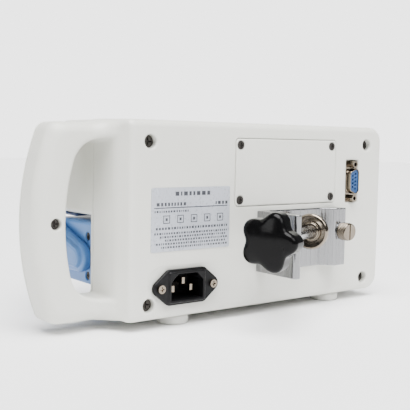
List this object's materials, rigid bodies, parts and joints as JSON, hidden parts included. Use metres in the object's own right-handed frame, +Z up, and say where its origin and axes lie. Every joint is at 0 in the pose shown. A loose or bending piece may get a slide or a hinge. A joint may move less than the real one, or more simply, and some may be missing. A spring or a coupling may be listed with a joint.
{
  "type": "syringe infusion pump",
  "caption": "Syringe infusion pump with D-shaped end handle, rear pole clamp, battery door, serial socket, mains inlet, and a motor-driven plunger head with clutch lever and barrel clamp.",
  "frame": {"origin": "centre of the overall bounding box at the underside of the feet", "axes": "+X to the handle end, +Y out of the rear face with the pole clamp, +Z up"},
  "size_m": [0.28, 0.18, 0.1295],
  "materials": {
    "housing": "fine texture, satin",
    "fascia": "satin",
    "window": "clear, gloss",
    "lcd": "satin",
    "key_green": "satin",
    "key_amber": "satin",
    "key_blue": "satin",
    "key_grey": "satin",
    "key_light": "satin",
    "board": "satin",
    "battery_wrap": "gloss",
    "dark_screw": "satin",
    "steel": "ground",
    "nickel": "bright",
    "black_plastic": "gloss",
    "black_matt": "satin",
    "serial_blue": "satin",
    "label": "satin foil",
    "aluminium": "satin anodised",
    "motor_black": "satin",
    "brass": "machined",
    "gear_white": "satin",
    "bronze": "machined",
    "pale_blue": "satin",
    "claw_grey": "satin",
    "arm_blue": "satin",
    "foot": "matt"
  },
  "bodies": {
    "housing": {"rear_shell": "housing", "front_shell": "housing", "front_fascia": "fascia", "display_window": "window", "lcd_module": "lcd", "keypad_board": "board", "main_board": "board", "power_board": "board", "battery_pack": "battery_wrap", "battery_door": "housing", "battery_door_screws": "steel", "housing_screws": "dark_screw", "feet": "foot", "foot_screws": "steel", "inlet_body": "black_matt", "inlet_pins": "nickel", "inlet_screws": "nickel", "serial_shell": "nickel", "serial_insert": "serial_blue", "serial_jackscrews": "nickel", "rating_label": "label", "clamp_bracket": "aluminium", "clamp_bracket_screws": "steel", "chassis": "aluminium", "stepper_motor": "motor_black", "screw_bearings": "steel", "guide_rod": "steel", "tube_bushing": "black_matt", "barrel_spring": "steel", "alarm_speaker": "black_matt"},
    "drive_head": {"pusher_case": "pale_blue", "pusher_cover": "pale_blue", "pusher_screws": "dark_screw", "drive_tube": "steel", "carriage": "claw_grey", "force_plate": "steel"},
    "lever": {"clutch_lever": "pale_blue", "release_shaft": "steel"},
    "claw_up": {"claw_upper": "claw_grey"},
    "claw_low": {"claw_lower": "claw_grey"},
    "half_nut": {"half_nut": "bronze"},
    "screw": {"lead_screw": "steel", "screw_gear": "gear_white"},
    "pinion": {"motor_pinion": "brass"},
    "barrel_slide": {"barrel_collar": "steel"},
    "barrel_clamp": {"barrel_arm": "arm_blue", "barrel_rod": "steel"},
    "pad": {"clamp_pad": "nickel"},
    "knob": {"clamp_screw": "steel", "clamp_knob": "black_plastic"},
    "thumb_washer": {"thumbscrew_washer": "steel"},
    "thumb": {"thumbscrew": "nickel"},
    "key_start": {"key_start": "key_green"},
    "key_hold": {"key_hold": "key_amber"},
    "key_bolus": {"key_bolus": "key_blue"},
    "key_mute": {"key_mute": "key_grey"},
    "key_fast_up": {"key_fast_up": "key_light"},
    "key_up": {"key_up": "key_light"},
    "key_down": {"key_down": "key_light"},
    "key_fast_down": {"key_fast_down": "key_light"}
  },
  "joints": [
    {"name": "lead_screw_turn", "type": "hinge", "parent": "housing", "child": "screw", "pos_m": [0, -0.022, 0.03], "axis": [1, 0, 0], "range_deg": [0, 19800]},
    {"name": "motor_turn", "type": "hinge", "parent": "housing", "child": "pinion", "pos_m": [-0.111, 0.0029, 0.03], "axis": [1, 0, 0], "range_deg": [-59400, 0]},
    {"name": "pusher_slide", "type": "slide", "parent": "housing", "child": "drive_head", "axis": [1, 0, 0], "range_m": [0, 0.11]},
    {"name": "clutch_turn", "type": "hinge", "parent": "drive_head", "child": "lever", "pos_m": [0.08, -0.043, 0.0405], "axis": [1, 0, 0], "range_deg": [0, 20], "stiffness_Nm_per_rad": 0.4, "springref_deg": -8.59},
    {"name": "claw_upper_turn", "type": "hinge", "parent": "drive_head", "child": "claw_up", "pos_m": [0.052, -0.062, 0.056], "axis": [1, 0, 0], "range_deg": [-20, 0]},
    {"name": "claw_lower_turn", "type": "hinge", "parent": "drive_head", "child": "claw_low", "pos_m": [0.052, -0.062, 0.026], "axis": [1, 0, 0], "range_deg": [0, 20]},
    {"name": "half_nut_drop", "type": "slide", "parent": "drive_head", "child": "half_nut", "axis": [0, 0, -1], "range_m": [0, 0.003]},
    {"name": "barrel_pull", "type": "slide", "parent": "housing", "child": "barrel_slide", "axis": [0, -1, 0], "range_m": [0, 0.0095], "stiffness_N_per_m": 250, "springref_m": -0.012},
    {"name": "barrel_turn", "type": "hinge", "parent": "barrel_slide", "child": "barrel_clamp", "pos_m": [-0.06, -0.086, 0.0165], "axis": [0, 1, 0], "range_deg": [0, 90]},
    {"name": "clamp_turn", "type": "hinge", "parent": "pad", "child": "knob", "pos_m": [0.02144, 0.07249, 0.0565], "axis": [0.9121, 0.4099, 0], "range_deg": [0, 5760]},
    {"name": "clamp_feed", "type": "slide", "parent": "housing", "child": "pad", "axis": [0.9121, 0.4099, 0], "range_m": [0, 0.02]},
    {"name": "thumb_turn", "type": "hinge", "parent": "thumb_washer", "child": "thumb", "pos_m": [-0.0847, 0.04, 0.0545], "axis": [0, 1, 0], "range_deg": [0, 2160]},
    {"name": "thumb_feed", "type": "slide", "parent": "housing", "child": "thumb_washer", "axis": [0, 1, 0], "range_m": [0, 0.006]},
    {"name": "key_start_press", "type": "slide", "parent": "housing", "child": "key_start", "axis": [0, 1, 0], "range_m": [0, 0.0008], "stiffness_N_per_m": 500, "springref_m": -0.0006},
    {"name": "key_hold_press", "type": "slide", "parent": "housing", "child": "key_hold", "axis": [0, 1, 0], "range_m": [0, 0.0008], "stiffness_N_per_m": 500, "springref_m": -0.0006},
    {"name": "key_bolus_press", "type": "slide", "parent": "housing", "child": "key_bolus", "axis": [0, 1, 0], "range_m": [0, 0.0008], "stiffness_N_per_m": 500, "springref_m": -0.0006},
    {"name": "key_mute_press", "type": "slide", "parent": "housing", "child": "key_mute", "axis": [0, 1, 0], "range_m": [0, 0.0008], "stiffness_N_per_m": 500, "springref_m": -0.0006},
    {"name": "key_fast_up_press", "type": "slide", "parent": "housing", "child": "key_fast_up", "axis": [0, 1, 0], "range_m": [0, 0.0008], "stiffness_N_per_m": 500, "springref_m": -0.0006},
    {"name": "key_up_press", "type": "slide", "parent": "housing", "child": "key_up", "axis": [0, 1, 0], "range_m": [0, 0.0008], "stiffness_N_per_m": 500, "springref_m": -0.0006},
    {"name": "key_down_press", "type": "slide", "parent": "housing", "child": "key_down", "axis": [0, 1, 0], "range_m": [0, 0.0008], "stiffness_N_per_m": 500, "springref_m": -0.0006},
    {"name": "key_fast_down_press", "type": "slide", "parent": "housing", "child": "key_fast_down", "axis": [0, 1, 0], "range_m": [0, 0.0008], "stiffness_N_per_m": 500, "springref_m": -0.0006}
  ],
  "couplings": [
    {"joint": "lead_screw_turn", "follows": "pusher_slide", "rad_per_m": 3141.6},
    {"joint": "motor_turn", "follows": "pusher_slide", "rad_per_m": -9424.8},
    {"joint": "clutch_turn", "follows": "half_nut_drop", "rad_per_m": 116.36},
    {"joint": "claw_upper_turn", "follows": "half_nut_drop", "rad_per_m": -116.36},
    {"joint": "claw_lower_turn", "follows": "half_nut_drop", "rad_per_m": 116.36},
    {"joint": "clamp_turn", "follows": "clamp_feed", "rad_per_m": 5026.5},
    {"joint": "thumb_turn", "follows": "thumb_feed", "rad_per_m": 6283.2}
  ]
}
